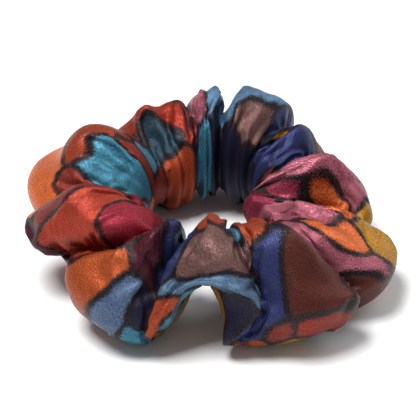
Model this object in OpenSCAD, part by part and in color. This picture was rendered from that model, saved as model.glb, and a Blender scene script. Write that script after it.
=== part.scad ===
// A gathered hair scrunchie, lying on a table: a satin tube gathered on a loop of elastic.
// The ring lies in the XY plane and rests on z = 0, with its opening along Z.
// The ring is parted at x = 0, so that its two halves can be drawn apart along X.

/* [Ring] */
// Clear width of the opening, at rest
hole_d = 38; // [30:1:60]
// Width of the gathered tube, from the opening to the outside of a gather
tube_w = 36; // [26:1:44]
// Height of the gathered tube above the table
tube_h = 36; // [26:1:44]
// How much of a gather's underside is pressed flat by the table
crush = 1.5; // [0.5:0.25:3]

/* [Gathers] */
// Number of gathers round the ring
gathers = 14; // [8:2:20]
// Depth of the dip between two gathers, on the outside
dip_out = 5; // [1:0.5:7]
// Depth of the dip between two gathers, on top
dip_top = 5; // [1:0.5:7]
// Depth of the dip between two gathers, in the opening
dip_in = 1.5; // [0.5:0.25:3]
// Height of the dip between two gathers, underneath
dip_under = 4; // [3.5:0.5:7]

/* [Cloth] */
// Length of the cut cloth, before it is gathered
cloth_l = 450; // [360:10:600]
// Thickness of one layer of the satin
cloth_t = 0.25; // [0.15:0.05:0.4]
// Width of cloth turned inside along the long seam
seam_allowance = 6; // [4:0.5:8]
// Where the long seam runs round the tube, from the outside upwards
seam_at = -35; // [-60:5:-10]

/* [Elastic] */
// Width of the elastic, which stands on edge behind the opening's cloth
elastic_w = 6; // [4:1:10]
// Thickness of the elastic
elastic_t = 1.2; // [0.8:0.1:1.6]
// Length over which the two ends of the elastic are lapped
elastic_lap = 14; // [10:1:20]
// Room between the elastic and the cloth of the opening
elastic_room = 0.4; // [0.3:0.1:1]

/* [Stitching] */
// Thickness of the sewing thread
thread_d = 0.3; // [0.2:0.05:0.4]
// Length of one stitch of the long seam, in the flat cloth
stitch_l = 4; // [3:0.5:6]
// Distance from one zigzag stitch of the lap to the next
zigzag_pitch = 2; // [1.6:0.2:3]
// Number of closing stitches round the tube
closing_count = 28; // [16:2:40]

/* [Hidden] */

hole_r = hole_d / 2;
tube_mid = hole_r + tube_w / 2;
// The wall holds the cut cloth's whole length, so it is thicker than one layer.
fullness = cloth_l / (2 * PI * tube_mid);
wall = cloth_t * fullness;
seam_fin = 2 * wall;
half_gap = 0.2;            // each half stays this far from the plane that parts them
gather_pitch = 360 / gathers;
half_rings = 3 * gathers;  // steps along one half of the ring, six to a gather
sides = 24;                // points round the tube
fin_spread = 1.2;          // tube angle between the outside points over the seam
stitch_inset = 0.6;        // how far the seam's thread lies from the cloth it closes
closing_reach = 0.9;       // half the length of a closing stitch, along the ring
thread_sides = 6;
satin = "indianred";
elastic_white = "ivory";
cotton = "darkslategray";

// 1 on the crest of a gather and 0 in the dip beside it, at ring angle a.
function crest(a) = pow(abs(cos(a * gathers / 2)), 0.9);

// The tube's section at ring angle a: [middle radius, half width, middle height, half height].
function section(a) =
    let (dip = 1 - crest(a),
         outer = hole_r + tube_w - dip_out * dip,
         inner = hole_r + dip_in * dip,
         top = tube_h - dip_top * dip,
         bottom = dip_under * dip - crush)
    [(outer + inner) / 2, (outer - inner) / 2, (top + bottom) / 2, (top - bottom) / 2];

// A point [radius, height] on the tube at ring angle a and tube angle b, taken in by inset.
function outline(a, b, inset) =
    let (s = section(a))
    [s[0] + (s[1] - inset) * cos(b), max(inset, s[2] + (s[3] - inset) * sin(b))];

// The root of the long seam, the way into the tube from it, and the way along the outline.
function seam_root(a) = outline(a, seam_at, wall);
function seam_in(a) =
    let (s = section(a), d = [s[0], s[2]] - seam_root(a))
    d / norm(d);
function seam_along(a) = let (d = seam_in(a)) [d[1], -d[0]];

// A point [radius, height] turned to ring angle a.
function turned(p, a) = [p[0] * cos(a), p[0] * sin(a), p[1]];

tube_angles = [for (i = [0 : sides - 1]) seam_at + (i + 0.5) * 360 / sides];
seam_angles = [for (k = [-1.5 : 1.5]) seam_at + k * fin_spread];

// The outside of the cloth at ring angle a, ending with the four points over the seam.
function outside_ring(a) =
    [for (b = concat(tube_angles, seam_angles)) turned(outline(a, b, 0), a)];

// The inside of the cloth at ring angle a, ending with the seam allowance's four corners.
function inside_ring(a) =
    let (root = seam_root(a),
         deep = seam_in(a) * seam_allowance,
         side = seam_along(a) * seam_fin / 2)
    concat([for (b = tube_angles) turned(outline(a, b, wall), a)],
           [for (p = [root - side, root - side + deep, root + side + deep, root + side])
               turned(p, a)]);

// Two triangles for each square between rings of m points; the rings start at first, step apart.
function band(rings, m, first, step, flip) =
    [for (k = [0 : rings - 1], i = [0 : m - 1])
        let (j = (i + 1) % m,
             p = first + k * step + i, q = first + k * step + j,
             r = p + step, s = q + step)
        each flip ? [[p, r, s], [p, s, q]] : [[p, s, r], [p, q, s]]];

// The edge of the cloth at an end, between the m outside and the m inside points from first.
function cloth_edge(first, m, flip) = band(1, m, first, m, flip);

// Half of the cover: a gathered, hollow tube of cloth from ring angle start to start + 180.
module half_cover(start) {
    m = len(tube_angles) + len(seam_angles);
    angles = [for (k = [0 : half_rings]) start + 180 * k / half_rings];
    polyhedron(
        points = [for (a = angles) each concat(outside_ring(a), inside_ring(a))],
        faces = concat(
            band(half_rings, m, 0, 2 * m, true),
            band(half_rings, m, m, 2 * m, false),
            cloth_edge(0, m, false),
            cloth_edge(half_rings * 2 * m, m, true)));
}

// Moves a half of the ring clear of the plane that parts it; side is -1 left or 1 right.
module half(side) {
    translate([side * half_gap, 0, 0]) children();
}

module cover_left() {
    color(satin) half(-1) half_cover(90);
}

module cover_right() {
    color(satin) half(1) half_cover(-90);
}

// The elastic stands on edge behind the cloth of the opening, halfway up the tube. It clears
// the cloth where that bulges most, in the dip between two gathers.
dip_section = section(gather_pitch / 2);
elastic_z = section(0)[2];
elastic_reach = abs(elastic_z - dip_section[2]) + elastic_w / 2;
elastic_r = dip_section[0] + elastic_room
    - (dip_section[1] - wall) * sqrt(1 - pow(elastic_reach / (dip_section[3] - wall), 2));
lap_r = elastic_r + elastic_t;
lap_angle = elastic_lap / lap_r * 180 / PI;

// A stretch of elastic between radius inner and outer, from ring angle start through angle.
module tape(inner, outer, start, angle) {
    rotate([0, 0, start])
        rotate_extrude(angle = angle, $fn = 96)
            translate([inner, elastic_z - elastic_w / 2])
                square([outer - inner, elastic_w]);
}

module elastic_left() {
    // The lapped end lies outside the other, and starts inside it so that the two are one.
    color(elastic_white) half(-1) {
        tape(elastic_r, lap_r, 90, 180);
        tape(lap_r - elastic_t / 2, lap_r + elastic_t, 180 - lap_angle / 2, lap_angle);
    }
}

module elastic_right() {
    color(elastic_white) half(1) tape(elastic_r, lap_r, -90, 180);
}

// A thread along a path of points. Each ring of the thread lies across the path there, and
// aside is a direction for each point that the path never runs along.
module thread(path, aside) {
    m = thread_sides;
    last = len(path) - 1;
    polyhedron(
        points = [for (k = [0 : last])
            let (way = path[min(k + 1, last)] - path[max(k - 1, 0)],
                 u = cross(way, aside[k]) / norm(cross(way, aside[k])),
                 v = cross(u, way) / norm(way))
            each [for (i = [0 : m - 1])
                path[k] + thread_d / 2 * (cos(i * 360 / m) * u + sin(i * 360 / m) * v)]],
        faces = concat(
            band(last, m, 0, m, true),
            [[for (i = [0 : m - 1]) i]],
            [[for (i = [m - 1 : -1 : 0]) last * m + i]]));
}

// The long seam's thread: it lies on one side of the allowance for a stitch, then on the other.
module seam_thread(start) {
    count = floor(cloth_l / 2 / stitch_l);
    step = 180 / count;
    side_reach = seam_fin / 2 + thread_d / 4;
    // Each stitch has two points: where it comes up, and where it goes down again.
    stops = [for (k = [0 : count - 1], f = [0.2, 0.8]) [start + (k + f) * step, k % 2 * 2 - 1]];
    thread(
        [for (s = stops)
            let (a = s[0])
            turned(seam_root(a) + seam_in(a) * stitch_inset
                   + seam_along(a) * side_reach * s[1], a)],
        [for (s = stops) turned(seam_in(s[0]), s[0])]);
}

module seam_thread_left() {
    color(cotton) half(-1) seam_thread(90);
}

module seam_thread_right() {
    color(cotton) half(1) seam_thread(-90);
}

// Zigzag stitches through both layers of the lap: up the outer face, through, and down the inner.
module lap_stitches() {
    count = floor((elastic_lap - zigzag_pitch) / zigzag_pitch);
    step = zigzag_pitch / lap_r * 180 / PI;
    side = elastic_w / 3;
    outer = lap_r + elastic_t;
    // Each stitch has four points: [radius, height from the elastic's middle, part of a stitch].
    corners = [[outer, -side, 0], [outer, side, 0.5], [elastic_r, side, 0.5], [elastic_r, -side, 1]];
    stops = [for (k = [0 : count - 1], c = corners)
        [c[0], elastic_z + c[1], 180 + (k + c[2] - count / 2) * step]];
    color(cotton) half(-1)
        thread([for (s = stops) turned([s[0], s[1]], s[2])],
               [for (s = stops) [-sin(s[2]), cos(s[2]), 0]]);
}

// Short stitches over the dip where the ends of the tube are turned in and joined. The thread
// crosses the join on the outside, goes through, and comes back on the inside.
module closing_stitches() {
    at = 180 + gather_pitch / 2;
    // Each stitch has four points: [side of the join, depth in the cloth, part of a stitch].
    corners = [[-1, 0, 0], [1, 0, 0.5], [1, wall, 0.5], [-1, wall, 1]];
    stops = [for (k = [0 : closing_count - 1], c = corners)
        let (b = seam_at + 5 + (k + c[2]) * 350 / closing_count,
             turn = closing_reach / tube_mid * 180 / PI)
        [at + c[0] * turn, b, c[1]]];
    color(cotton) half(-1)
        thread([for (s = stops) turned(outline(s[0], s[1], s[2]), s[0])],
               [for (s = stops) turned([-sin(s[1]), cos(s[1])], s[0])]);
}

cover_left();
cover_right();
elastic_left();
elastic_right();
seam_thread_left();
seam_thread_right();
lap_stitches();
closing_stitches();
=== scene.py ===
import math

import bpy
import numpy as np
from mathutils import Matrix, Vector


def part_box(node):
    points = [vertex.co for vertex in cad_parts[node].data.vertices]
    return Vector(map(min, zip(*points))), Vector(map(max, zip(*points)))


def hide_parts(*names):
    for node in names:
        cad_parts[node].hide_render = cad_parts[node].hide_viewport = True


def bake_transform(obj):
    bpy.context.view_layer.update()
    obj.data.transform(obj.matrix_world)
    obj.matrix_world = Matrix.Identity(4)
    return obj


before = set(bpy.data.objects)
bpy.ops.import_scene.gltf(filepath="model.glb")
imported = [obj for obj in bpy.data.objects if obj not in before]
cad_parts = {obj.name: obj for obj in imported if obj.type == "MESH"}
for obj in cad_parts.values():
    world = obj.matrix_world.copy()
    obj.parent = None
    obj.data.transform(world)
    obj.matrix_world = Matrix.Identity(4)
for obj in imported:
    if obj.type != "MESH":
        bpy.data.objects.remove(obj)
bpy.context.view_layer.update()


# ---------------------------------------------------------------------------------------
# Camera: a long lens, looking down at the ring as it lies on a table.
# ---------------------------------------------------------------------------------------
camera_elevation = math.radians(35.5)
camera_distance = 0.40
camera_aim = Vector((0.0, 0.0, 0.0180))
sensor_width = 36.0
field_width = 0.1232        # width of the view where the camera aims, in metres

camera_data = bpy.data.cameras.new("camera")
camera_data.sensor_width = sensor_width
camera_data.lens = sensor_width * camera_distance / field_width
camera_data.clip_start = 0.01
camera = bpy.data.objects.new("camera", camera_data)
bpy.context.collection.objects.link(camera)
to_camera = Vector((0.0, -math.cos(camera_elevation), math.sin(camera_elevation)))
camera.location = camera_aim + camera_distance * to_camera
camera.rotation_euler = to_camera.to_track_quat("Z", "Y").to_euler()
bpy.context.scene.camera = camera


# ---------------------------------------------------------------------------------------
# Stage: a plain pale floor under soft studio light.
# ---------------------------------------------------------------------------------------
floor_size = 4.0
floor_data = bpy.data.meshes.new("floor")
half_floor = floor_size / 2
floor_data.from_pydata([(-half_floor, -half_floor, 0), (half_floor, -half_floor, 0),
                        (half_floor, half_floor, 0), (-half_floor, half_floor, 0)],
                       [], [(0, 1, 2, 3)])
floor = bpy.data.objects.new("floor", floor_data)
bpy.context.collection.objects.link(floor)
floor_paint = bpy.data.materials.new("pale_floor")
floor_paint.use_nodes = True
floor_paint.node_tree.nodes["Principled BSDF"].inputs["Base Color"].default_value = (0.82, 0.82, 0.82, 1)
floor_paint.node_tree.nodes["Principled BSDF"].inputs["Roughness"].default_value = 0.9
floor_data.materials.append(floor_paint)

world = bpy.data.worlds.new("studio")
bpy.context.scene.world = world
world.use_nodes = True
world.node_tree.nodes["Background"].inputs["Color"].default_value = (0.95, 0.97, 1.0, 1)
world.node_tree.nodes["Background"].inputs["Strength"].default_value = 0.30
bpy.context.scene.view_settings.view_transform = "Standard"


def softbox(name, place, size, watts):
    """A square area light at place, pointed at the ring."""
    lamp_data = bpy.data.lights.new(name, "AREA")
    lamp_data.size = size
    lamp_data.energy = watts
    lamp = bpy.data.objects.new(name, lamp_data)
    lamp.location = place
    lamp.rotation_euler = (Vector(place) - camera_aim).to_track_quat("Z", "Y").to_euler()
    bpy.context.collection.objects.link(lamp)


softbox("key", (-0.22, -0.10, 0.75), 0.30, 8.0)
softbox("fill", (0.55, 0.35, 0.55), 0.6, 3.0)


# ---------------------------------------------------------------------------------------
# Elastic: flat white braided rubber, standing on edge inside the cover behind the opening.
# Its two ends are lapped at the left, one outside the other.
# ---------------------------------------------------------------------------------------
MM = 0.001
elastic_low, elastic_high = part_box("elastic_right")
elastic_outer = elastic_high[0]                 # outer radius of the loop
elastic_gauge = 1.2 * MM
elastic_width = elastic_high[2] - elastic_low[2]
elastic_middle = (elastic_high[2] + elastic_low[2]) / 2
lap_length = 14 * MM
elastic_ribs = 9                                # rubber cords side by side in the braid
yarn_pitch = 0.7                                # of the yarn along it, in millimetres


def surface(name, points, faces):
    """A new smooth mesh object from an array of points and faces given as point numbers. Its
    volume, summed as cones from the origin to the faces, tells which way they have to turn."""
    flat = points.reshape(-1, 3)
    quads = flat[np.array([f for f in faces if len(f) == 4])]
    across = np.cross(quads[:, 2] - quads[:, 0], quads[:, 3] - quads[:, 1])
    if np.sum(quads.mean(axis=1) * across) < 0:
        faces = [f[::-1] for f in faces]
    mesh = bpy.data.meshes.new(name)
    mesh.from_pydata(flat.tolist(), [], faces)
    mesh.shade_smooth()
    thing = bpy.data.objects.new(name, mesh)
    bpy.context.collection.objects.link(thing)
    return thing


def swept(name, centre, out, up, profile_out, profile_up):
    """Solids made by carrying a profile along paths. A point is the path's point, plus the
    profile's two coordinates times the two directions there. Each path is one solid, with a
    cap at both ends. Its texture coordinates are millimetres along it, and part of the way round."""
    count, steps = centre.shape[:2]
    sides_of = profile_out.shape[-1]
    points = (centre[:, :, None] + profile_out[..., None] * out[:, :, None]
              + profile_up[..., None] * up[:, :, None])
    k, i, j = np.meshgrid(np.arange(count), np.arange(steps - 1), np.arange(sides_of), indexing="ij")
    j_next = (j + 1) % sides_of
    ring = k * steps + i
    walls = np.stack([ring * sides_of + j, (ring + 1) * sides_of + j,
                      (ring + 1) * sides_of + j_next, ring * sides_of + j_next], axis=-1).reshape(-1, 4)
    first_cap = (np.arange(count) * steps * sides_of)[:, None] + np.arange(sides_of)
    last_cap = first_cap[:, ::-1] + (steps - 1) * sides_of
    solid = surface(name, points, walls.tolist() + first_cap.tolist() + last_cap.tolist())
    gone = np.linalg.norm(np.diff(centre, axis=1), axis=-1).cumsum(axis=1) / MM
    gone = np.concatenate([np.zeros((count, 1)), gone], axis=1).ravel()
    corner = np.empty(len(solid.data.loops), dtype=int)
    solid.data.loops.foreach_get("vertex_index", corner)
    along, around = gone[corner // sides_of], (corner % sides_of) / sides_of
    place = np.stack([along, around], axis=-1)
    solid.data.uv_layers.new(name="along").data.foreach_set("uv", place.ravel())
    return solid


class Value:
    """A socket inside a material. Sums written on it add Math nodes."""

    def __init__(self, tree, socket=None):
        self.tree = tree
        self.socket = socket

    def node(self, kind, settings, sockets, output=0):
        """Adds a node, makes its settings, then fills its sockets with values or links."""
        made = self.tree.nodes.new(kind)
        for name, setting in settings.items():
            setattr(made, name, setting)
        for name, value in sockets.items():
            if isinstance(value, Value):
                self.tree.links.new(value.socket, made.inputs[name])
            else:
                made.inputs[name].default_value = value
        return Value(self.tree, made.outputs[output] if len(made.outputs) else None)

    def math(self, operation, a, b=0.0):
        return self.node("ShaderNodeMath", {"operation": operation}, {0: a, 1: b})

    def __add__(self, other):
        return self.math("ADD", self, other)

    def __radd__(self, other):
        return self.math("ADD", other, self)

    def __sub__(self, other):
        return self.math("SUBTRACT", self, other)

    def __rsub__(self, other):
        return self.math("SUBTRACT", other, self)

    def __mul__(self, other):
        return self.math("MULTIPLY", self, other)

    def __rmul__(self, other):
        return self.math("MULTIPLY", other, self)

    def sine(self):
        return self.math("SINE", self)

    def step(self, low, high):
        """0 below low and 1 above high, smoothly between."""
        return self.node("ShaderNodeMapRange", {"interpolation_type": "SMOOTHSTEP"},
                         {"Value": self, "From Min": low, "From Max": high})

    def noise(self, place, scale, detail=2.0):
        """Noise between 0 and 1 at a place, with so many lumps to the unit of length."""
        return self.node("ShaderNodeTexNoise", {}, {"Vector": place, "Scale": scale, "Detail": detail})

    def tinted(self, colour, share):
        """A colour made lighter or darker by a share that may vary."""
        return self.node("ShaderNodeVectorMath", {"operation": "SCALE"},
                         {"Vector": colour, "Scale": share})

    def mixed(self, share, first, second):
        """First where share is 0, second where it is 1."""
        return self.node("ShaderNodeMix", {"data_type": "RGBA"}, {0: share, 6: first, 7: second}, 2)


def new_material(name):
    """An empty material, as a Value to add nodes to."""
    material = bpy.data.materials.new(name)
    material.use_nodes = True
    material.node_tree.nodes.clear()
    return material, Value(material.node_tree)


def elastic_material():
    """Braided elastic: rubber cords under white yarn that crosses them in a herringbone. The
    pattern follows the tape, in millimetres along it and in parts of the way round it."""
    material, braid = new_material("white_elastic")
    place = braid.node("ShaderNodeUVMap", {"uv_map": "along"}, {})
    along = braid.node("ShaderNodeSeparateXYZ", {}, {"Vector": place}, "X")
    around = braid.node("ShaderNodeSeparateXYZ", {}, {"Vector": place}, "Y")
    cord = (around * (4 * math.pi * elastic_ribs)).sine()
    yarn = (along * (2 * math.pi / yarn_pitch) + cord * 1.5).sine()
    fuzz = braid.noise(place, 1.3, 3.0)
    # Painted light and shade: the cord and yarn waves make the raised cords and yarn lighter and the
    # grooves between them darker. The noise is the yarn's own uneven tone.
    painted_relief_shading_and_tone = 0.86 + cord * 0.06 + yarn * 0.05 + (fuzz - 0.5) * 0.12
    colour = braid.tinted((0.80, 0.78, 0.73), painted_relief_shading_and_tone)
    bump = braid.node("ShaderNodeBump", {}, {"Strength": 0.6, "Distance": 0.00012,
                                             "Height": cord * 0.6 + yarn * 0.4 + fuzz * 0.3})
    shader = braid.node("ShaderNodeBsdfPrincipled", {}, {
        "Base Color": colour, "Roughness": 0.65 + fuzz * 0.2, "Normal": bump, "Sheen Weight": 0.15})
    braid.node("ShaderNodeOutputMaterial", {}, {"Surface": shader})
    return material


def rounded(wave, power):
    """A sine or cosine raised to a power, with its sign kept. Under 1 it squares the corners."""
    return np.sign(wave) * np.abs(wave) ** power


# The tape goes once round and on along the lap, where it has climbed by its own thickness.
tape_steps = 600
lap_gap = 0.05 * MM         # between the two layers
turn_of_tape = np.linspace(0, 1, tape_steps)
lap_angle = lap_length / elastic_outer
tape_angle = math.pi - lap_angle / 2 + turn_of_tape * (2 * math.pi + lap_angle)
climb_start = 2 * math.pi - lap_angle * 0.8
climb = np.clip((turn_of_tape * (2 * math.pi + lap_angle) - climb_start) / (lap_angle * 0.7), 0, 1)
climb = climb * climb * (3 - 2 * climb)
tape_radius = elastic_outer - elastic_gauge / 2 + climb * (elastic_gauge + lap_gap)
tape_centre = np.stack([tape_radius * np.cos(tape_angle), tape_radius * np.sin(tape_angle),
                        np.full(len(tape_angle), elastic_middle)], axis=-1)[None]
tape_out = np.stack([np.cos(tape_angle), np.sin(tape_angle), np.zeros(len(tape_angle))], axis=-1)[None]
tape_up = np.broadcast_to([0.0, 0.0, 1.0], tape_out.shape)
# Its profile is a rounded oblong, swollen a little over each rubber cord.
profile_sides = 72
profile_turn = np.arange(profile_sides) / profile_sides * 2 * np.pi
profile_width = rounded(np.sin(profile_turn), 0.75) * elastic_width / 2
swell = 1 - 0.10 * (1 - np.cos(2 * np.pi * elastic_ribs * (profile_width / elastic_width + 0.5))) / 2
profile_gauge = rounded(np.cos(profile_turn), 0.30) * elastic_gauge / 2 * swell
elastic = swept("elastic", tape_centre, tape_out, tape_up, profile_gauge, profile_width)
elastic.data.materials.append(elastic_material())
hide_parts("elastic_left", "elastic_right")
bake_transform(elastic)


# ---------------------------------------------------------------------------------------
# Lap stitches: a zigzag of polyester thread through both layers of the elastic's lap.
# ---------------------------------------------------------------------------------------
thread_radius = 0.15 * MM
thread_sides = 8
twist_pitch = 0.9           # millimetres along it for each turn of its two plies
zigzag_pitch = 2.0 * MM
zigzag_reach = elastic_width / 3


def thread_material(name, colour):
    """Polyester sewing thread: two plies twisted together that wind round it, with painted
    highlights on the tops of the plies and painted shade in the grooves between them."""
    material, twist = new_material(name)
    place = twist.node("ShaderNodeUVMap", {"uv_map": "along"}, {})
    along = twist.node("ShaderNodeSeparateXYZ", {}, {"Vector": place}, "X")
    around = twist.node("ShaderNodeSeparateXYZ", {}, {"Vector": place}, "Y")
    plies = (along * (2 * math.pi / twist_pitch) + around * (4 * math.pi)).sine()
    fuzz = twist.noise(place, 3.0, 2.0)
    # Painted light and shade along the plies, with the thread's own uneven tone from the noise.
    painted_relief_shading_and_tone = twist.tinted(colour, 0.85 + plies * 0.25 + (fuzz - 0.5) * 0.4)
    bump = twist.node("ShaderNodeBump", {}, {"Strength": 0.5, "Distance": 0.00005, "Height": plies + fuzz})
    shader = twist.node("ShaderNodeBsdfPrincipled", {}, {
        "Base Color": painted_relief_shading_and_tone, "Roughness": 0.45 + fuzz * 0.2, "Normal": bump, "Sheen Weight": 0.1})
    twist.node("ShaderNodeOutputMaterial", {}, {"Surface": shader})
    return material


def thread(name, path, up):
    """Round threads along paths. The direction beside a path is its own direction times the
    direction upwards, taken as vectors, and the profile is a circle on those two."""
    ahead = np.gradient(path, axis=1)
    beside = np.cross(ahead, up)
    beside = beside / np.linalg.norm(beside, axis=-1, keepdims=True)
    above = np.cross(beside, ahead)
    above = above / np.linalg.norm(above, axis=-1, keepdims=True)
    circle = np.arange(thread_sides) / thread_sides * 2 * np.pi
    return swept(name, path, beside, above,
                 thread_radius * np.cos(circle), thread_radius * np.sin(circle))


def eased(corners, steps):
    """Paths through rows of corner points: straight between them, with the given number of
    steps to each stretch, then averaged along the path to round the corners."""
    place = np.arange(corners.shape[1])
    fine = np.linspace(0, corners.shape[1] - 1, (corners.shape[1] - 1) * steps + 1)
    line = np.stack([np.stack([np.interp(fine, place, row[:, c]) for c in range(3)], axis=-1)
                     for row in corners])
    for _ in range(3):
        line[:, 1:-1] = (line[:, :-2] + 2 * line[:, 1:-1] + line[:, 2:]) / 4
    return line


zigzag_count = int(lap_length / zigzag_pitch) - 1
zig = np.arange(zigzag_count * 4 + 1)
zig_outside = elastic_outer + elastic_gauge + thread_radius
zig_inside = elastic_outer - elastic_gauge - thread_radius
zig_radius = np.where(zig % 4 < 2, zig_outside, zig_inside)
zig_height = np.where((zig + 1) % 4 < 2, -zigzag_reach, zigzag_reach)
zig_angle = math.pi + (zig / 4 - zigzag_count / 2) * zigzag_pitch / elastic_outer
zigzag = np.stack([zig_radius * np.cos(zig_angle), zig_radius * np.sin(zig_angle),
                   elastic_middle + zig_height], axis=-1)
lap_path = eased(zigzag[None], 10)
lap_up = np.broadcast_to([0.3, 0.1, 1.0], lap_path.shape)
lap = thread("lap_thread", lap_path, lap_up)
lap.data.materials.append(thread_material("white_thread", (0.72, 0.70, 0.66)))
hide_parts("lap_stitches")
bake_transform(lap)


# ---------------------------------------------------------------------------------------
# Cover: one cut rectangle of printed polyester satin, sewn into a tube, turned, gathered
# on the elastic and closed into a ring. Its gathers are a rest shape for the cloth, which
# then settles by simulation.
# ---------------------------------------------------------------------------------------
cloth_length = 0.450        # along the ring, before it is gathered
cut_width = 0.104           # of the flat cut
seam_allowance = 0.006      # of it, turned inwards along each long edge
cloth_width = cut_width - 2 * seam_allowance    # round the tube
rings = 480                 # rings of points along the cloth
ring_spacing = cloth_length / rings
sides = 96                  # points round the tube
cloth_gauge = 0.00025

# Each gather, and each dip after it: ring angle at the outside, ring angle at the hole, outer
# radius, top height and underside height, in degrees and millimetres.
gathers = [
    (18, 9, 48, 30, 0),
    (43, 42, 46, 33, 0),
    (66, 68, 52, 39.5, 0),
    (94, 90, 48, 40.5, 2),
    (121, 114, 47, 35, 0),
    (158, 158, 58, 36, 0),
    (196, 214, 56, 35.5, 0),
    (228, 249, 54, 33, 0),
    (278, 271, 53, 34.5, 0),
    (311, 299, 57, 36, 0),
    (340, 335, 57, 25, 0),
]
dips = [
    (33, 27, 37, 24, 8),
    (57, 56, 36, 25, 8),
    (86, 82, 42, 32, 6),
    (103, 98, 41, 32, 6),
    (136, 130, 40, 26, 8),
    (181, 186, 41, 25, 8),
    (206, 246, 43, 26, 6),
    (249, 252, 48, 22, 1),
    (289, 283, 46, 26, 1),
    (320, 309, 46, 21, 5),
    (358, 356, 45, 18, 8),
]
flat_facet = 1.1            # how flat the cloth lies between a gather's top and its outer edge
first_ring = 5              # ring angle of the first ring of points
hole_radius = 19.0
dip_hole_radius = 20.5
crest_power = 2.7           # 1 folds the crests as sharply as the dips, and more rounds them
pleats_per_gather = 2
inner_pleat = 0.8           # depth of the small pleats at the hole
middle_pleat = 0.7          # on the top and underside
outer_pleat = 0.35          # and at the outside
above_elastic = 21.5        # least height of the cloth that crosses over the elastic

# Pushes and pulls on the cloth: ring angle and tube angle, reach round the ring and
# round the tube in degrees, then the move outwards, round the ring and upwards in millimetres.
pulls = [
    (269, -30, 11, 50, -12, 0, 12),     # the arch at the front, clear of the table
    (267, -90, 11, 45, -3, 0, 14),
    (281, -10, 6, 30, -6, 0, 0),        # the curl beside it, hollow above a turned-in foot
    (285, -50, 7, 38, 4, -8, 0),
    (273, 124, 15, 34, -2, 0, 2),       # a crest that stands up at the hole
    (283, 126, 8, 26, -1, 0, 2),
    (248, -45, 10, 35, 4, 0, 0),        # feet that spread on the table
    (5, 165, 26, 55, -9, 0, 0),         # the right side, crowding into the hole
    (8, 88, 5, 45, -2, 0, -6),
    (1, 98, 8, 30, -2, 0, -14),         # the deep pocket at the right, under its round rim
    (15, 82, 6, 50, 1, -2, 4),
    (48, 100, 5, 30, 0, 0, -8),         # the hollow under the rim at the back right
    (41, 60, 7, 30, 1, 0, 2),
    (121, 118, 13, 38, 4, 0, -7),       # the pocket under the arched rim at the back left
    (118, 65, 12, 30, 0, 0, 2),
    (176, 105, 5, 40, 0, 0, -4),        # the long dent behind the left flap
    (168, 112, 2.5, 45, -1, 0, -4),     # and the crease beyond it
    (246, 60, 2, 40, 0, 0, 4),          # a small pleat in the valley left of the arch
    (352, 118, 3, 35, 0, 0, 4),         # and two at the right, running into the hole
    (340, 112, 3, 35, 0, 0, 3),
    (196, -45, 14, 40, -9, 0, 10),      # the left flap's tip, lifted off the table
    (195, 10, 9, 30, 1, 0, -2),
    (214, -10, 8, 40, -6, 0, 0),        # the front left gather, tucked in below the flap
    (57, 45, 7, 50, 4, -3, 5),          # the tall gather at the back, at its right end
    (160, 42, 11, 28, -1.5, 0, -1.5),   # flatter facets on the left and front right gathers
    (312, 30, 9, 22, 0, 0, -3),
]


def crest_and_dip(column, wave):
    """A column of the two tables at a phase: what the nearest crests have, and the dips."""
    count = len(gathers)
    crest = np.interp(wave, np.arange(count), [row[column] for row in gathers], period=count)
    dip = np.interp(wave, np.arange(count) + 0.5, [row[column] for row in dips], period=count)
    return crest, dip


def phase(angle, outward):
    """A whole number on each gather's crest and a half more in the dip after it, with straight
    lines between them. Crests and dips run from their angle at the hole to that outside."""
    rows = [row for pair in zip(gathers, dips) for row in pair]
    rows = [(rows[-1][0] - 360, rows[-1][1] - 360)] + rows + [(gathers[0][0] + 360, gathers[0][1] + 360)]
    rows = rows + [(dips[0][0] + 360, dips[0][1] + 360)]
    lean = outward ** 2.5
    wave = np.zeros_like(angle)
    for k in range(len(rows) - 1):
        start = rows[k][0] * lean + rows[k][1] * (1 - lean)
        end = rows[k + 1][0] * lean + rows[k + 1][1] * (1 - lean)
        here = (angle >= start) & (angle < end)
        wave = np.where(here, (k - 1 + (angle - start) / (end - start)) / 2, wave)
    return wave


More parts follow.
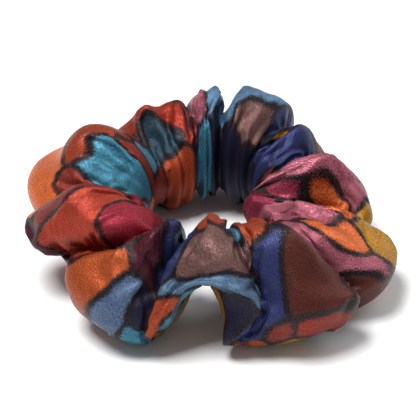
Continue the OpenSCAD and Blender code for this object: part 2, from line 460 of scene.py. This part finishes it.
def cover_shape(angle, round_tube):
    """The rest shape of the cloth. At each ring angle the tube is an oval whose outer, top,
    underside and inner reach swing from the gather's to the dip's, as a power of the cosine
    of the phase, which leaves the dips sharp and the crests round. Small pleats stand on it,
    each gather is wider at its outside than at the hole, and the pulls move it last."""
    b = np.radians(round_tube)
    outward = (1 + np.cos(b)) / 2
    upward = np.sin(b)
    wave = phase(angle, outward)
    off_crest = 2 * np.abs(wave - np.round(wave))
    crest = 1 - off_crest ** crest_power
    outer, top, under = (dip * (1 - crest) + top_of * crest
                         for top_of, dip in (crest_and_dip(c, wave) for c in (2, 3, 4)))
    inner = dip_hole_radius * (1 - crest) + hole_radius * crest
    power = 2 - flat_facet * np.maximum(np.cos(b), 0) ** 0.5 * np.maximum(upward, 0) ** 0.5
    facet = (np.abs(np.cos(b)) ** power + np.abs(upward) ** power) ** (-1 / power)
    pleat = np.sin(2 * np.pi * pleats_per_gather * wave + 2.0 * np.sin(3 * np.radians(angle)))
    pleat = pleat * (inner_pleat * (1 - outward) ** 2 + middle_pleat * 4 * outward * (1 - outward)
                     + outer_pleat * outward)
    radius = (outer + inner) / 2 + ((outer - inner) / 2 + pleat) * facet * np.cos(b)
    height = (top + under) / 2 + ((top - under) / 2 + pleat) * facet * upward
    turn = 2.0 * np.sin(2 * np.pi * wave) * outward
    for ring_at, tube_at, ring_reach, tube_reach, out, around, up in pulls:
        ring_off = (angle - ring_at + 180) % 360 - 180
        tube_off = (round_tube - tube_at + 180) % 360 - 180
        pull = np.exp(-(ring_off / ring_reach) ** 2 - (tube_off / tube_reach) ** 2)
        radius = radius + out * pull
        height = height + up * pull
        turn = turn + np.degrees(around / 40) * pull
    over_elastic = above_elastic * np.clip((29 - radius) / 4, 0, 1) * np.clip(upward * 2, 0, 1)
    height = np.maximum(height, np.maximum(over_elastic, 0.3))
    a = np.radians(angle + turn)
    return np.stack([radius * np.cos(a), radius * np.sin(a), height], axis=-1) * MM


def even_rings(count):
    """Ring angles that space the rings evenly along the cloth: the length of the cloth is
    summed over many angles, at its outside and top, and shared out equally."""
    fine = np.linspace(first_ring, first_ring + 360, 5761)
    length = np.zeros(len(fine))
    for round_tube in (-40.0, 0.0, 40.0, 80.0):
        line = cover_shape(fine, np.full(len(fine), round_tube))
        length[1:] += np.cumsum(np.linalg.norm(np.diff(line, axis=0), axis=1))
    return np.interp(np.arange(count) / count * length[-1], length, fine)


def evenly_round(count):
    """Tube angles of a number of points round the tube, from the hole's side downwards."""
    return np.arange(count) / count * 360 - 180


def closed_grid(across, along):
    """Faces of a grid that closes on itself both ways, as rows of four point numbers."""
    i, j = np.meshgrid(np.arange(across), np.arange(along), indexing="ij")
    i_next, j_next = (i + 1) % across, (j + 1) % along
    corners = [i * along + j, i_next * along + j, i_next * along + j_next, i * along + j_next]
    return np.stack([c.ravel() for c in corners], axis=-1).tolist()


# How the cloth settles.
spare_length = 0.87         # share of the cut's length left over by the finest pleats
hole_take_up = 0.30         # share of that, taken up by the tight pleats at the elastic
elastic_hold = 38           # tube angle held to the elastic, each side of it
loose_hold = 0.40           # how firmly the rest is drawn to the rest shape
cloth_bending = 12.0
settling_steps = 20
settling_scale = 10.0       # the solver is steadier at ten times the size


def settle(points, ring_count, side_count):
    """Lets the cloth settle from its rest shape. Its threads keep the length that they had in
    the flat cut, less what the finest pleats take up, so it buckles into small folds between
    the large ones. It is held at the elastic, and loosely drawn to the rest shape elsewhere."""
    scale = settling_scale
    cloth = surface("settling_cloth", points * scale, closed_grid(ring_count, side_count))
    # The flat tube: two layers, bent into a loop as long as the cut.
    loop = np.arange(ring_count) / ring_count * 2 * np.pi
    loop_radius = cloth_length * spare_length / (2 * np.pi)
    part = np.arange(side_count) / side_count
    height = np.minimum(part, 1 - part) * cloth_width
    inward = (1 - np.cos(np.radians(evenly_round(side_count)))) / 2
    radius = loop_radius * (1 - hole_take_up * inward) + np.where(part < 0.5, 0.0, 0.001)
    flat = np.stack([radius * np.cos(loop)[:, None], radius * np.sin(loop)[:, None],
                     np.broadcast_to(height, (ring_count, side_count))], axis=-1) * scale
    cloth.shape_key_add(name="gathered")
    flat_key = cloth.shape_key_add(name="flat")
    flat_key.data.foreach_set("co", flat.reshape(-1))
    hold = cloth.vertex_groups.new(name="hold")
    at_elastic = np.abs(np.abs(evenly_round(side_count)) - 180) < elastic_hold
    number = np.arange(ring_count * side_count).reshape(ring_count, side_count)
    hold.add(number[:, at_elastic].ravel().tolist(), 1.0, "REPLACE")
    hold.add(number[:, ~at_elastic].ravel().tolist(), loose_hold, "REPLACE")
    solver = cloth.modifiers.new("settle", "CLOTH")
    feel = solver.settings
    feel.quality = 6
    feel.mass = 0.3
    feel.tension_stiffness = 15
    feel.compression_stiffness = 15
    feel.shear_stiffness = 2
    feel.bending_stiffness = cloth_bending
    feel.bending_damping = 0.5
    feel.air_damping = 2
    feel.vertex_group_mass = "hold"
    feel.pin_stiffness = 1
    feel.rest_shape_key = flat_key
    feel.effector_weights.gravity = 0.2
    touch = solver.collision_settings
    touch.use_self_collision = True
    touch.self_distance_min = 0.008
    touch.distance_min = 0.004
    touch.collision_quality = 2
    floor.scale = (scale, scale, scale)
    floor.modifiers.new("table", "COLLISION").settings.thickness_outer = 0.005
    solver.point_cache.frame_start = 1
    solver.point_cache.frame_end = settling_steps
    for step in range(1, settling_steps + 1):
        bpy.context.scene.frame_set(step)
    settled = cloth.evaluated_get(bpy.context.evaluated_depsgraph_get())
    result = np.empty(points.size)
    settled.data.vertices.foreach_get("co", result)
    bpy.data.objects.remove(cloth)
    floor.modifiers.clear()
    floor.scale = (1, 1, 1)
    bpy.context.scene.frame_set(1)
    return result.reshape(points.shape) / scale


def doubled(points, axis):
    """Twice as many points along an axis that closes on itself, with each new point on the
    smooth curve through its four neighbours."""
    before, after, beyond = (np.roll(points, k, axis) for k in (1, -1, -2))
    between = (9 * (points + after) - (before + beyond)) / 16
    pair = np.stack([points, between], axis=axis + 1)
    shape = list(points.shape)
    shape[axis] *= 2
    return pair.reshape(shape)


elastic_clearance = 1.2 * MM    # of the cloth over and under it
opening_clearance = 0.5 * MM    # and of the cloth at the opening


def clear_of_elastic(points, round_tube):
    """Keeps the cloth off the elastic. Near it, the cloth over it stays above a height that
    falls away outwards, the cloth under it stays below another, and the cloth of the opening
    stays inside a radius."""
    radius = np.hypot(points[..., 0], points[..., 1])
    height = points[..., 2]
    near = np.clip((elastic_outer + 6 * MM - radius) / (4 * MM), 0, 1)
    over = (elastic_high[2] + elastic_clearance) * near
    far_above = 50 * MM
    under = elastic_low[2] - elastic_clearance + (1 - near) * far_above
    on_top = (round_tube > 15) & (round_tube < 155)
    below = (round_tube < -15) & (round_tube > -155)
    height = np.where(on_top, np.maximum(height, over), height)
    height = np.where(below, np.minimum(height, under), height)
    opening = elastic_outer - elastic_gauge - opening_clearance
    level = (height > elastic_low[2] - 1 * MM) & (height < elastic_high[2] + 1 * MM)
    beside = (np.abs(round_tube) > 125) & level
    inwards = np.where(beside, np.minimum(radius, opening), radius) / radius
    return np.stack([points[..., 0] * inwards, points[..., 1] * inwards, height], axis=-1)


coarse_rings, coarse_sides = rings // 2, sides // 2
ring_angle = even_rings(coarse_rings)
ring_grid, tube_grid = np.meshgrid(ring_angle, evenly_round(coarse_sides), indexing="ij")
cover_points = cover_shape(ring_grid, tube_grid)
cover_points = settle(cover_points, coarse_rings, coarse_sides)
cover_points = clear_of_elastic(cover_points, tube_grid)
cover_points = doubled(doubled(cover_points, 0), 1)
ring_tangent = np.roll(cover_points, -1, axis=0) - np.roll(cover_points, 1, axis=0)
side_tangent = np.roll(cover_points, -1, axis=1) - np.roll(cover_points, 1, axis=1)
cover_normals = np.cross(side_tangent, ring_tangent)
cover_normals = cover_normals / np.linalg.norm(cover_normals, axis=-1, keepdims=True)
tube_middle = cover_points.mean(axis=1, keepdims=True)
if np.sum(cover_normals * (cover_points - tube_middle)) < 0:
    cover_normals = -cover_normals


def on_cover(along, around, lift):
    """Points of the settled cover, and the cover's normals there. Along and around count
    rings and sides and may be fractions: the four nearest points are mixed by the parts left
    over. The point then moves by lift along the normal."""
    i, j = np.floor(along).astype(int), np.floor(around).astype(int)
    u, v = (along - i)[..., None], (around - j)[..., None]
    mixed = []
    for field in (cover_points, cover_normals):
        near = field[i % rings, j % sides] * (1 - v) + field[i % rings, (j + 1) % sides] * v
        far = field[(i + 1) % rings, j % sides] * (1 - v) + field[(i + 1) % rings, (j + 1) % sides] * v
        mixed.append(near * (1 - u) + far * u)
    place, normal = mixed
    return place + normal * np.asarray(lift)[..., None], normal


# The two allowances stand side by side inside the tube, from the seam towards its middle.
seam_angle = -35            # round the tube
seam_side = (seam_angle + 180) / 360 * sides
allowance_steps = 3
every_ring = np.arange(rings, dtype=float)
inside_face = np.full(rings, -1.5 * cloth_gauge)
seam_edge, _ = on_cover(every_ring, np.full(rings, seam_side), inside_face)
beside_seam, _ = on_cover(every_ring, np.full(rings, seam_side + 1), inside_face)
to_middle = tube_middle[:, 0] - seam_edge
room = np.linalg.norm(to_middle, axis=-1, keepdims=True)
to_middle = to_middle / room
sideways = beside_seam - seam_edge
sideways = sideways / np.linalg.norm(sideways, axis=-1, keepdims=True)
allowance_part = np.linspace(0, 1, allowance_steps)[None, :, None]
allowance_depth = np.minimum(seam_allowance, 0.7 * room)[:, None] * allowance_part
allowance_spread = 1.2 * cloth_gauge + 1.2 * MM * allowance_part ** 2
allowances = [seam_edge[:, None] + to_middle[:, None] * allowance_depth
              + sideways[:, None] * (hand * allowance_spread)
              for hand in (-1, 1)]
strip_i, strip_j = np.meshgrid(np.arange(rings), np.arange(allowance_steps - 1), indexing="ij")
strip_faces = np.stack([strip_i * allowance_steps + strip_j,
                        (strip_i + 1) % rings * allowance_steps + strip_j,
                        (strip_i + 1) % rings * allowance_steps + strip_j + 1,
                        strip_i * allowance_steps + strip_j + 1], axis=-1).reshape(-1, 4)
shell_size = rings * sides
strip_size = rings * allowance_steps
cover_vertices = np.concatenate([cover_points.reshape(-1, 3)] + [a.reshape(-1, 3) for a in allowances])
cover = surface("cover", cover_vertices,
                closed_grid(rings, sides) + (strip_faces + shell_size).tolist()
                + (strip_faces + shell_size + strip_size).tolist())

# The print: cells of one colour each, outlined with a dark brush. A few cells paint shade
# and highlights on top of the print, where marked. A cell is a colour and the places that it
# grows from, as ring angle and tube angle on the gathered cover.
dyes = {
    "orange": (0.54, 0.118, 0.030),
    "amber": (0.38, 0.075, 0.018),
    "dark_orange": (0.26, 0.040, 0.015),
    "front_orange": (0.30, 0.055, 0.012),
    "teal": (0.042, 0.165, 0.24),
    "light_teal": (0.060, 0.17, 0.24),
    "petrol_pocket_shade": (0.020, 0.045, 0.065),
    "brick": (0.175, 0.020, 0.011),
    "red": (0.24, 0.021, 0.009),
    "flap_red": (0.32, 0.038, 0.020),
    "crimson": (0.24, 0.017, 0.030),
    "magenta": (0.26, 0.034, 0.066),
    "wine": (0.065, 0.010, 0.020),
    "denim": (0.075, 0.115, 0.20),
    "steel": (0.080, 0.16, 0.26),
    "light_blue": (0.080, 0.14, 0.22),
    "navy": (0.026, 0.033, 0.105),
    "dark_navy": (0.012, 0.012, 0.032),
    "taupe": (0.135, 0.066, 0.058),
    "brown": (0.080, 0.019, 0.013),
    "rose": (0.18, 0.022, 0.014),
    "pink": (0.30, 0.080, 0.11),
    "rust": (0.30, 0.048, 0.016),
    "mustard": (0.33, 0.15, 0.012),
}
cells = [
    ("orange", [(155, 52), (160, 40), (165, 25), (170, 25), (175, 8), (190, 25)]),
    ("dark_orange", [(152, 82), (147, 95), (158, 88), (165, 84)]),
    ("teal", [(162, 108), (165, 120), (165, 135), (171, 110), (173, 135), (170, 122)]),
    ("brick", [(175, 50), (178, 65), (184, 80)]),
    ("brick", [(195, 40), (198, 68)]),
    ("wine", [(193, 5), (197, -15)]),
    ("flap_red", [(204, 40), (210, 60), (207, 85), (215, 55), (220, 48), (208, 25)]),
    ("crimson", [(221, 100), (229, 86), (236, 84), (243, 100), (226, 120)]),
    ("front_orange", [(228, 30), (235, 45), (226, 5), (231, 22), (238, 55), (215, 0)]),
    ("denim", [(235, 0), (240, 22), (238, -12), (243, 35)]),
    ("teal", [(243, -22), (247, -32)]),
    # Painted shade: this wine cell and the dark navy strip below it are the print's wine and navy painted
    # darker where the fold beside the arch shades the valley.
    ("wine", [(244, 66), (247, 85), (246, 50)]),
    ("dark_navy", [(247, 18), (246, 2)]),
    ("navy", [(252, 95), (254, 75), (251, 60), (258, 108)]),
    ("taupe", [(264, 64), (272, 65), (281, 66), (270, 88), (281, 84), (263, 76)]),
    ("light_blue", [(256, 42), (262, 30), (268, 25), (275, 35), (282, 36), (287, 32), (286, 15)]),
    ("rust", [(254, 12), (253, -8), (258, 5)]),
    ("light_teal", [(258, -35), (263, -20)]),
    ("mustard", [(262, -62), (256, -75)]),
    ("rust", [(268, 115), (274, 122)]),
    ("light_teal", [(282, 106)]),
    ("rust", [(290, 112), (294, 100)]),
    ("navy", [(295, 85), (293, 65), (292, 45), (290, 25), (289, 5), (288, -15), (287, -30)]),
    # Painted highlight: this small steel cell lightens the navy curl where light catches it.
    ("steel", [(277, 2)]),
    ("dark_navy", [(279, -14), (283, -8), (284, -42)]),
    ("mustard", [(275, -45), (277, -62), (279, -78)]),
    ("brown", [(300, 62), (302, 40), (306, 28), (300, 24), (309, 45), (307, 12)]),
    ("rose", [(294, -20)]),
    ("red", [(302, -16), (307, -12)]),
    ("mustard", [(300, -50), (320, -40)]),
    ("front_orange", [(289, -48)]),
    ("brown", [(320, 5), (325, 5), (318, 16), (328, 6), (333, -8)]),
    ("pink", [(315, 76), (320, 56), (325, 44), (318, 92), (329, 26), (333, 8)]),
    ("orange", [(331, 66), (333, 55), (330, 76)]),
    ("mustard", [(343, 42), (345, 15), (340, 25), (351, 10), (357, 20), (2, 12)]),
    ("amber", [(9, 84), (7, 73), (1, 63), (354, 73), (347, 82)]),
    ("pink", [(7, 97), (1, 90)]),
    ("pink", [(16, 137), (19, 112), (17, 98), (17, 82), (15, 64), (11, 50), (5, 41)]),
    ("magenta", [(3, 136), (0, 150)]),
    ("magenta", [(9, 112), (5, 107)]),
    ("dark_navy", [(2, 116)]),
    ("pink", [(353, 108), (345, 118), (335, 105)]),
    ("navy", [(35, 90), (38, 70), (33, 110), (42, 125), (28, 95), (30, 72)]),
    ("mustard", [(52, 84)]),
    ("navy", [(48, 105), (51, 120), (46, 92)]),
    ("brown", [(43, 50), (40, 35)]),
    ("brown", [(24, 136), (30, 145)]),
    ("steel", [(75, 90), (68, 88), (63, 84), (80, 104), (72, 102), (70, 70)]),
    ("navy", [(57, 60), (56, 74)]),
    ("taupe", [(61, 112), (65, 122), (58, 108), (67, 112), (71, 124)]),
    ("dark_navy", [(75, 150), (80, 165), (70, 162), (85, 140), (77, -176), (69, -176), (84, -172)]),
    ("dark_navy", [(58, 150), (60, 172), (55, -170), (62, -160)]),
    ("pink", [(95, 90), (96, 106), (94, 70)]),
    ("steel", [(90, 88), (89, 106)]),
    ("crimson", [(101, 120), (100, 140), (103, 105)]),
    ("orange", [(103, 70), (105, 82)]),
    ("red", [(115, 86), (118, 70), (123, 58), (110, 96), (107, 115), (106, 134), (130, 50)]),
    ("red", [(140, 85), (134, 66)]),
    # Painted shade: this cell is the teal print painted dark where the pocket under the arched rim lies in
    # shadow, and the light_teal site inside it is a painted highlight.
    ("petrol_pocket_shade", [(122, 100), (118, 115), (115, 127), (129, 114), (111, 130)]),
    ("light_teal", [(127, 104)]),
    ("brick", [(150, 133), (152, 145)]),
    ("light_teal", [(140, 140)]),
    ("rust", [(110, 150), (114, 162), (108, 178), (117, 180), (108, -162), (117, -164), (124, 175)]),
    ("teal", [(97, 138), (98, 158), (94, 175), (97, -168), (95, -152)]),
    ("brick", [(134, 172), (139, -168)]),
]
cell_size = 15              # spacing of further cells over the cloth that those leave free
cell_tries = 4000
border_softness = 3.0       # rounds the corners of the cells, in millimetres
seam_place = seam_side / sides * cloth_width / MM   # of the long seam, across the cloth


def along_cloth(angle):
    """How far along the cloth a ring angle is, in millimetres, by the spacing of the rings."""
    turned = (angle - first_ring) % 360 + first_ring
    table = np.append(ring_angle, ring_angle[0] + 360)
    return np.interp(turned, table, np.linspace(0, cloth_length / MM, len(table)))


def cloth_distance(along, around, site_along, site_around):
    """Millimetres from each point of the cloth to each site, the short way round both ways."""
    length, width = cloth_length / MM, cloth_width / MM
    d_along = (along[:, None] - site_along + length / 2) % length - length / 2
    d_around = (around[:, None] - site_around + width / 2) % width - width / 2
    return np.hypot(d_along, d_around)


def printed(along, around):
    """The colour of each point, and its distance from the nearest border. A cell's distance is
    the soft least of the distances to its places, which rounds its corners, and a border's is
    half the difference between the nearest cell's and the next one's."""
    places = [(a, b, k) for k, cell in enumerate(cells) for a, b in cell[1]]
    site_along = along_cloth(np.array([float(p[0]) for p in places]))
    site_around = np.array([float(p[1]) for p in places]) / 360 * cloth_width / MM
    colours = [dyes[cell[0]] for cell in cells]
    cell_of = [p[2] for p in places]
    chance = np.random.default_rng(5)
    names = list(dyes)
    for _ in range(cell_tries):
        a, b = chance.uniform(0, cloth_length / MM), chance.uniform(0, cloth_width / MM)
        gap = cloth_distance(np.array([a]), np.array([b]), site_along, site_around).min()
        if gap > cell_size:
            site_along, site_around = np.append(site_along, a), np.append(site_around, b)
            cell_of.append(len(colours))
            colours.append(dyes[names[chance.integers(len(names))]])
    nearness = np.exp(-cloth_distance(along, around, site_along, site_around) / border_softness)
    summed = np.stack([nearness[:, np.array(cell_of) == k].sum(axis=1)
                       for k in range(len(colours))], axis=-1)
    cell_reach = -border_softness * np.log(summed + 1e-12)
    own = cell_reach.argmin(axis=1)
    nearest, next_nearest = np.sort(cell_reach, axis=1)[:, :2].T
    return np.array(colours)[own], (next_nearest - nearest) / 2


rib_pitch = 0.55            # of the ribs in the weave, in millimetres
cross_pitch = 0.48          # of the yarns across them
weave_turn = math.radians(38)


def satin_material():
    """Printed satin. Colour and border distance come with the mesh, and the weave follows the
    cloth's own coordinates, in millimetres."""
    material, satin = new_material("printed_satin")
    dye = satin.node("ShaderNodeAttribute", {"attribute_name": "print"}, {}, "Color")
    border = satin.node("ShaderNodeAttribute", {"attribute_name": "border"}, {}, "Fac")
    place = satin.node("ShaderNodeUVMap", {"uv_map": "cloth"}, {})
    flat = satin.node("ShaderNodeMapping", {}, {"Vector": place,
                                                "Scale": (cloth_length / MM, cloth_width / MM, 1)})
    turned = satin.node("ShaderNodeMapping", {}, {"Vector": flat, "Rotation": (0, 0, weave_turn)})
    stroke = satin.node("ShaderNodeMapping", {}, {"Vector": turned, "Scale": (1, 5, 1)})
    lumps = satin.noise(flat, 0.10, 3.0)
    streaks = satin.noise(stroke, 0.16, 4.0)
    ragged = satin.noise(flat, 0.25, 3.0)
    dashes = satin.node("ShaderNodeMapping", {}, {"Vector": turned, "Scale": (3.0, 1.5, 1)})
    specks = satin.noise(dashes, 1.0, 1.0).step(0.36, 0.66)
    thread = satin.node("ShaderNodeSeparateXYZ", {}, {"Vector": turned}, "X")
    other = satin.node("ShaderNodeSeparateXYZ", {}, {"Vector": turned}, "Y")
    rib = (thread * (2 * math.pi / rib_pitch)).sine()
    cross = (other * (2 * math.pi / cross_pitch)).sine()
    weave = rib * 0.6 + cross * 0.4
    inside = (border + (ragged - 0.5) * 1.1 + (specks - 0.5) * 0.3).step(0.30, 1.40)
    share = 0.45 + lumps * 0.60 + streaks * 0.50
    share = share * (0.67 + specks * 0.66 + weave * 0.20)
    shaded = satin.tinted(dye, share)
    black = satin.tinted((0.015, 0.010, 0.012), 0.4 + specks * 1.3)
    colour = satin.mixed(inside, black, shaded)
    across = satin.node("ShaderNodeSeparateXYZ", {}, {"Vector": flat}, "Y")
    from_seam = (across - seam_place) * (across - seam_place)
    seam = 1 - from_seam.step(0.02, 0.5)
    height = weave * 0.4 + specks * 0.8 - seam * 3
    rough = 0.48 - specks * 0.14
    bump = satin.node("ShaderNodeBump", {}, {"Strength": 0.45, "Distance": 0.00014, "Height": height})
    shader = satin.node("ShaderNodeBsdfPrincipled", {}, {
        "Base Color": colour, "Roughness": rough, "Normal": bump,
        "Metallic": 0.45, "Specular IOR Level": 0.22})
    satin.node("ShaderNodeOutputMaterial", {}, {"Surface": shader})
    return material


# Each vertex's place on the flat cloth, in rings and sides. An allowance has the seam's place.
vertex = np.arange(len(cover_vertices))
on_strip = vertex >= shell_size
vertex_ring = np.where(on_strip, (vertex - shell_size) % strip_size // allowance_steps, vertex // sides)
vertex_side = np.where(on_strip, seam_side, vertex % sides)
dye_at, border_at = printed(vertex_ring * ring_spacing / MM, (vertex_side / sides - 0.5) * cloth_width / MM)
cover_mesh = cover.data
cover_mesh.attributes.new("print", "FLOAT_COLOR", "POINT").data.foreach_set(
    "color", np.column_stack([dye_at, np.ones(len(dye_at))]).ravel())
cover_mesh.attributes.new("border", "FLOAT", "POINT").data.foreach_set("value", border_at)
# The same place as texture coordinates, from 0 to 1 both ways. On the last row of faces either
# way, a corner on the first ring or side counts as one past the last.
corner = np.empty(len(cover_mesh.loops), dtype=int)
cover_mesh.loops.foreach_get("vertex_index", corner)
face = np.arange(len(corner)) // 4
corner_ring, corner_side = vertex_ring[corner], vertex_side[corner]
last_ring = corner_ring.reshape(-1, 4).max(axis=1)[face] == rings - 1
last_side = corner_side.reshape(-1, 4).max(axis=1)[face] == sides - 1
corner_ring = np.where(last_ring & (corner_ring == 0), rings, corner_ring)
corner_side = np.where(last_side & (corner_side == 0), sides, corner_side)
cover_mesh.uv_layers.new(name="cloth").data.foreach_set(
    "uv", np.stack([corner_ring / rings, corner_side / sides], axis=-1).ravel())
cover_mesh.materials.append(satin_material())
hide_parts("cover_left", "cover_right")
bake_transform(cover)
thickness = cover.modifiers.new("cloth", "SOLIDIFY")
thickness.thickness = cloth_gauge


# ---------------------------------------------------------------------------------------
# Long seam: polyester thread in a lockstitch, inside the tube where its two long edges are
# joined. It was sewn wrong side out, so outside only the line of the seam shows.
# ---------------------------------------------------------------------------------------
stitch_length = 4 * MM
stitch_gap = 0.5 * MM
seam_depth = 0.60 * MM      # how far inside the cloth's outer face the thread runs
seam_stitches = int(cloth_length / stitch_length)
stitch_part = np.linspace(0, 1, 9)
stitch_start = np.arange(seam_stitches)[:, None] * cloth_length / seam_stitches
seam_along = (stitch_start + stitch_part * (stitch_length - stitch_gap)) / ring_spacing
seam_around = np.full_like(seam_along, seam_side)
seam_lift = np.broadcast_to(-seam_depth - 0.12 * MM * np.sin(np.pi * stitch_part), seam_along.shape)
seam_path, seam_up = on_cover(seam_along, seam_around, seam_lift)
seam_thread = thread("seam_thread", seam_path, seam_up)
seam_thread.data.materials.append(thread_material("dark_thread", (0.030, 0.016, 0.018)))
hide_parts("seam_thread_left", "seam_thread_right")
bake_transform(seam_thread)


# ---------------------------------------------------------------------------------------
# Closing stitches: one end of the cloth tube is tucked into the other, with its raw edge
# folded in, and slip-stitched by hand all round. The last end of thread is left at the opening.
# ---------------------------------------------------------------------------------------
closing_angle = 186         # ring angle, in the dip behind the left flap
closing_count = 28
closing_reach = 1.1 * MM    # of a stitch, to each side of the seam
tail_angle = 99             # ring angle of the loose end of thread
closing_at = along_cloth(np.array([float(closing_angle)])) * MM / ring_spacing
part_way = np.linspace(-1, 1, 9)
closing_along = closing_at + np.ones((closing_count, 1)) * part_way * closing_reach / ring_spacing
closing_around = np.arange(closing_count)[:, None] * sides / closing_count + 0.5 * part_way
closing_lift = thread_radius * (1.6 * np.cos(part_way * np.pi / 2) - 1.2)
closing_lift = np.broadcast_to(closing_lift, closing_along.shape)
closing_path, closing_up = on_cover(closing_along, closing_around, closing_lift)
closing = thread("closing_thread", closing_path, closing_up)
closing.data.materials.append(bpy.data.materials["dark_thread"])
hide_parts("closing_stitches")
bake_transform(closing)

tail_length = 4 * MM
tail_at = along_cloth(np.array([float(tail_angle)])) * MM / ring_spacing
tail_root, tail_normal = on_cover(tail_at, np.array([0.97 * sides]), np.array([0.0]))
hang = np.linspace(0, 1, 12)[:, None]
tail_bow = tail_normal * (0.6 * MM * np.sin(hang * np.pi))
tail_path = tail_root + tail_bow + np.array([[0.6, 0.2, -1.0]]) * hang * tail_length
tail = thread("thread_end", tail_path[None], np.broadcast_to([0.0, -1.0, 0.2], (1, 12, 3)))
tail.data.materials.append(bpy.data.materials["dark_thread"])
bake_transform(tail)
